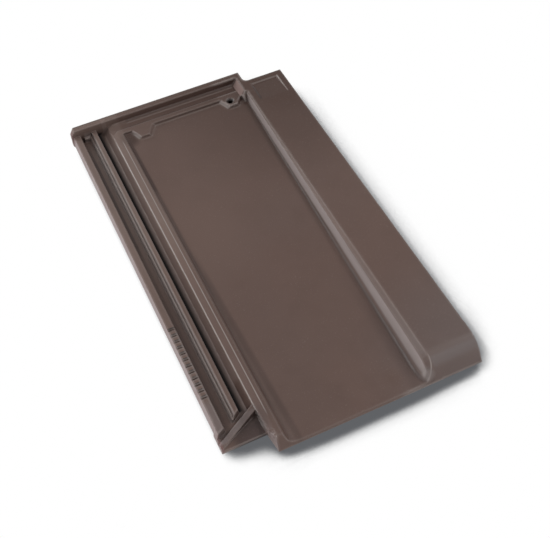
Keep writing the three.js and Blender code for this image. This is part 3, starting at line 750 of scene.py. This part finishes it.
@dataclass(frozen=True)
class Shade:
    """A short soft shadow that the floor's material makes, away from a direction of light.

    No lamp casts it: it is how much the tile hides of the air round that direction.
    """

    light: Place
    reach: float
    faint: float
    full: float
    samples: int = 16

    def depth(self, sheet: NodeSheet) -> bpy.types.NodeSocket:
        """Tells how deep the floor lies in this shadow.

        Args:
            sheet: The floor's nodes.

        Returns:
            The depth, from 0 in the open to 1.
        """
        side = sheet.add("ShaderNodeCombineXYZ", dict(zip("XYZ", Vector(self.light).normalized())))
        cover = sheet.add("ShaderNodeAmbientOcclusion", {"Distance": self.reach}, samples=self.samples)
        sheet.join(side.outputs["Vector"], cover.inputs["Normal"])
        return sheet.stretched(cover.outputs["AO"], 1 - self.full, 1 - self.faint, 1.0, 0.0)


@dataclass(frozen=True)
class StageWhite:
    """The floor: white to look at, with the shades painted on, over a pale diffuse floor."""

    name: str = "stage_white"
    real: Colour = (0.85, 0.85, 0.85)
    shadow: Colour = (0.118, 0.122, 0.130)
    shades: tuple[Shade, ...] = (
        Shade((-0.5, 0.75, 0.9), 90.0 * MILLIMETRE, 0.24, 0.57),
        Shade((-1.0, -0.2, 1.2), 65.0 * MILLIMETRE, 0.17, 0.46),
        Shade((-0.9, 0.3, 0.9), 40.0 * MILLIMETRE, 0.28, 0.58),
    )

    def material(self) -> bpy.types.Material:
        """Builds the floor's finish.

        Returns:
            The material.
        """
        made = bpy.data.materials.new(self.name)
        made.use_nodes = True
        sheet = NodeSheet(made.node_tree)
        colour = WHITE
        for shade in self.shades:
            colour = sheet.tinted(shade.depth(sheet), colour, self.shadow)
        shown = sheet.add("ShaderNodeEmission", {"Strength": 1.0})
        sheet.join(colour, shown.inputs["Color"])
        surface = sheet.add("ShaderNodeBsdfDiffuse", {"Color": (*self.real, 1.0), "Roughness": 0.0})
        either = sheet.add("ShaderNodeMixShader")
        output = sheet.add("ShaderNodeOutputMaterial")
        sheet.join(seen_by(sheet, *Ray), either.inputs["Fac"])
        sheet.join(surface.outputs["BSDF"], either.inputs[1])
        sheet.join(shown.outputs["Emission"], either.inputs[2])
        sheet.join(either.outputs["Shader"], output.inputs["Surface"])
        return made


def seen_by(sheet: NodeSheet, *rays: Ray) -> bpy.types.NodeSocket:
    """Tells whether a ray is one of some kinds.

    Args:
        sheet: The nodes that ask.
        *rays: The kinds of ray.

    Returns:
        1 for a ray of those kinds, otherwise 0.
    """
    path = sheet.add("ShaderNodeLightPath")
    total = path.outputs[rays[0].value]
    for ray in rays[1:]:
        either = sheet.add("ShaderNodeMath", operation="MAXIMUM")
        sheet.join(total, either.inputs[0])
        sheet.join(path.outputs[ray.value], either.inputs[1])
        total = either.outputs[0]
    return total


@dataclass
class RoofTile:
    """The fired tile: the frame's solid with rounded arrises, a pressed skin and its slip."""

    node: str = "roof_tile"
    slot: str = "brown_clay"
    piece_name: str = "engobed_tile"
    weld: float = 0.002 * MILLIMETRE
    voxel: float = 0.45 * MILLIMETRE
    flatness: float = 0.04 * MILLIMETRE
    arris_ease: float = 0.5
    arris_passes: int = 1
    triangles: int = 190_000
    warp: float = 0.25 * MILLIMETRE
    skin: float = 0.05 * MILLIMETRE
    relief_layers: int = 2
    finish: Engobe = field(default_factory=Engobe)

    def build(self, frame: dict) -> bpy.types.Object:
        """Makes the visible tile and lets it stand for the frame's node.


        Returns:
            The finished piece.
        """
        piece = self.copied(frame["nodes"][self.node])
        self.rounded(piece)
        self.pressed(piece)
        self.thinned(piece)
        piece.data.materials.clear()
        piece.data.materials.append(self.finish.material())
        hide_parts(self.node)
        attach(piece, "root")
        return piece

    def copied(self, solid: bpy.types.Object) -> bpy.types.Object:
        """Copies the node's loose triangles into one closed mesh.

        Args:
            solid: The frame's node.

        Returns:
            A new object at the origin.
        """
        shape = bmesh.new()
        shape.from_mesh(solid.data)
        bmesh.ops.remove_doubles(shape, verts=shape.verts, dist=self.weld)
        mesh = bpy.data.meshes.new(self.piece_name)
        shape.to_mesh(mesh)
        shape.free()
        piece = bpy.data.objects.new(self.piece_name, mesh)
        bpy.context.scene.collection.objects.link(piece)
        return piece

    def rounded(self, piece: bpy.types.Object) -> None:
        """Remeshes the tile evenly and rounds its arrises a little.

        Args:
            piece: The tile.
        """
        remesh = piece.modifiers.new("even_skin", "REMESH")
        remesh.mode = "VOXEL"
        remesh.voxel_size = self.voxel
        remesh.adaptivity = self.flatness
        remesh.use_smooth_shade = True
        smooth = piece.modifiers.new("arrises", "SMOOTH")
        smooth.factor = self.arris_ease
        smooth.iterations = self.arris_passes
        self.settled(piece)

    def pressed(self, piece: bpy.types.Object) -> None:
        """Lifts and sinks the faces slightly, as clay may warp in the kiln.

        Args:
            piece: The tile.
        """
        for relief, height in ((Relief.WARP, self.warp), (Relief.SKIN, self.skin)):
            pattern = bpy.data.textures.new(relief.name.lower(), "CLOUDS")
            pattern.noise_scale = relief.value
            pattern.noise_depth = self.relief_layers
            lift = piece.modifiers.new(pattern.name, "DISPLACE")
            lift.texture = pattern
            lift.texture_coords = "LOCAL"
            lift.strength = height
            lift.mid_level = 0.5
        self.settled(piece)

    def thinned(self, piece: bpy.types.Object) -> None:
        """Takes triangles away where the faces are flat.

        Args:
            piece: The tile.
        """
        count = sum(len(polygon.vertices) - 2 for polygon in piece.data.polygons)
        LOG.info("%s has %d triangles before thinning", piece.name, count)
        if count > self.triangles:
            thin = piece.modifiers.new("thin", "DECIMATE")
            thin.ratio = self.triangles / count
            self.settled(piece)

    @staticmethod
    def settled(piece: bpy.types.Object) -> None:
        """Applies the piece's modifiers to its mesh."""
        graph = bpy.context.evaluated_depsgraph_get()
        made = bpy.data.meshes.new_from_object(piece.evaluated_get(graph))
        made.name = piece.name
        piece.modifiers.clear()
        spent = piece.data
        piece.data = made
        bpy.data.meshes.remove(spent)


@dataclass
class Lamp:
    """A sun with a wide disc, so that its light is soft, named for where it stands."""

    name: str
    azimuth: float
    elevation: float
    power: float
    spread: float = 20.0

    def build(self) -> None:
        """Hangs the lamp."""
        light = bpy.data.lights.new(self.name, "SUN")
        light.energy = self.power
        light.angle = math.radians(self.spread)
        lamp = bpy.data.objects.new(self.name, light)
        level = Matrix.Rotation(math.radians(-self.elevation), 4, "Y")
        place = Matrix.Rotation(math.radians(self.azimuth), 4, "Z") @ level @ Vector((1.0, 0.0, 0.0))
        lamp.location = place
        lamp.rotation_euler = (-place).to_track_quat("-Z", "Y").to_euler()
        bpy.context.scene.collection.objects.link(lamp)


@dataclass
class Studio:
    """A white floor, soft lamps and a white surround."""

    floor_size: float = 12.0
    sky: float = 0.02
    floor: StageWhite = field(default_factory=StageWhite)
    lamps: tuple[Lamp, ...] = (
        Lamp("left_low", 180.0, 4.0, 1.9),
        Lamp("front_left", 240.0, 25.0, 0.6),
        Lamp("back_left", 120.0, 25.0, 0.9),
        Lamp("back_left_high", 150.0, 50.0, 0.9),
        Lamp("right_high", 0.0, 50.0, 1.3),
        Lamp("front_high", 295.0, 55.0, 0.3),
        Lamp("front_right_low", 315.0, 10.0, 0.8),
    )

    def build(self) -> None:
        """Lays the floor, hangs the lamps and lights the surround."""
        shape = bmesh.new()
        bmesh.ops.create_grid(shape, x_segments=1, y_segments=1, size=self.floor_size / 2)
        mesh = bpy.data.meshes.new("floor")
        shape.to_mesh(mesh)
        shape.free()
        mesh.materials.append(self.floor.material())
        floor = bpy.data.objects.new("floor", mesh)
        bpy.context.scene.collection.objects.link(floor)
        for lamp in self.lamps:
            lamp.build()
        self.surround()

    def surround(self) -> None:
        """Makes the world white to look at, and very dim as a light."""
        world = bpy.data.worlds.new("surround")
        bpy.context.scene.world = world
        world.use_nodes = True
        sheet = NodeSheet(world.node_tree)
        seen = seen_by(sheet, *Ray)
        colour = sheet.tinted(seen, (self.sky,) * 3, WHITE)
        light = sheet.add("ShaderNodeBackground", {"Strength": 1.0})
        output = sheet.add("ShaderNodeOutputWorld")
        sheet.join(colour, light.inputs["Color"])
        sheet.join(light.outputs["Background"], output.inputs["Surface"])


@dataclass
class View:
    """The camera, above the foot of the tile and to its left."""

    place: Vector = field(default_factory=lambda: Vector((-0.2295, -0.6028, 0.788)))
    azimuth: float = -22.463
    elevation: float = 52.048
    roll: float = -3.377
    lens: float = 61.94
    sensor: float = 36.0

    def build(self) -> None:
        """Sets up the camera and the plain view transform."""
        scene = bpy.context.scene
        data = bpy.data.cameras.new("view")
        data.lens = self.lens
        data.sensor_width = self.sensor
        camera = bpy.data.objects.new("view", data)
        turn = (Matrix.Rotation(math.radians(self.azimuth), 4, "Z")
                @ Matrix.Rotation(math.radians(90 - self.elevation), 4, "X")
                @ Matrix.Rotation(math.radians(self.roll), 4, "Z"))
        camera.matrix_world = Matrix.Translation(self.place) @ turn
        scene.collection.objects.link(camera)
        scene.camera = camera
        scene.view_settings.view_transform = "Standard"


def main() -> None:
    """Builds the scene in order and reports each piece."""
    logging.basicConfig(level=logging.INFO, format="%(message)s")
    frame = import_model()
    View().build()
    Studio().build()
    piece = RoofTile().build(frame)
    LOG.info("%s: %d faces", piece.name, len(piece.data.polygons))


if __name__ == "__main__":
    main()
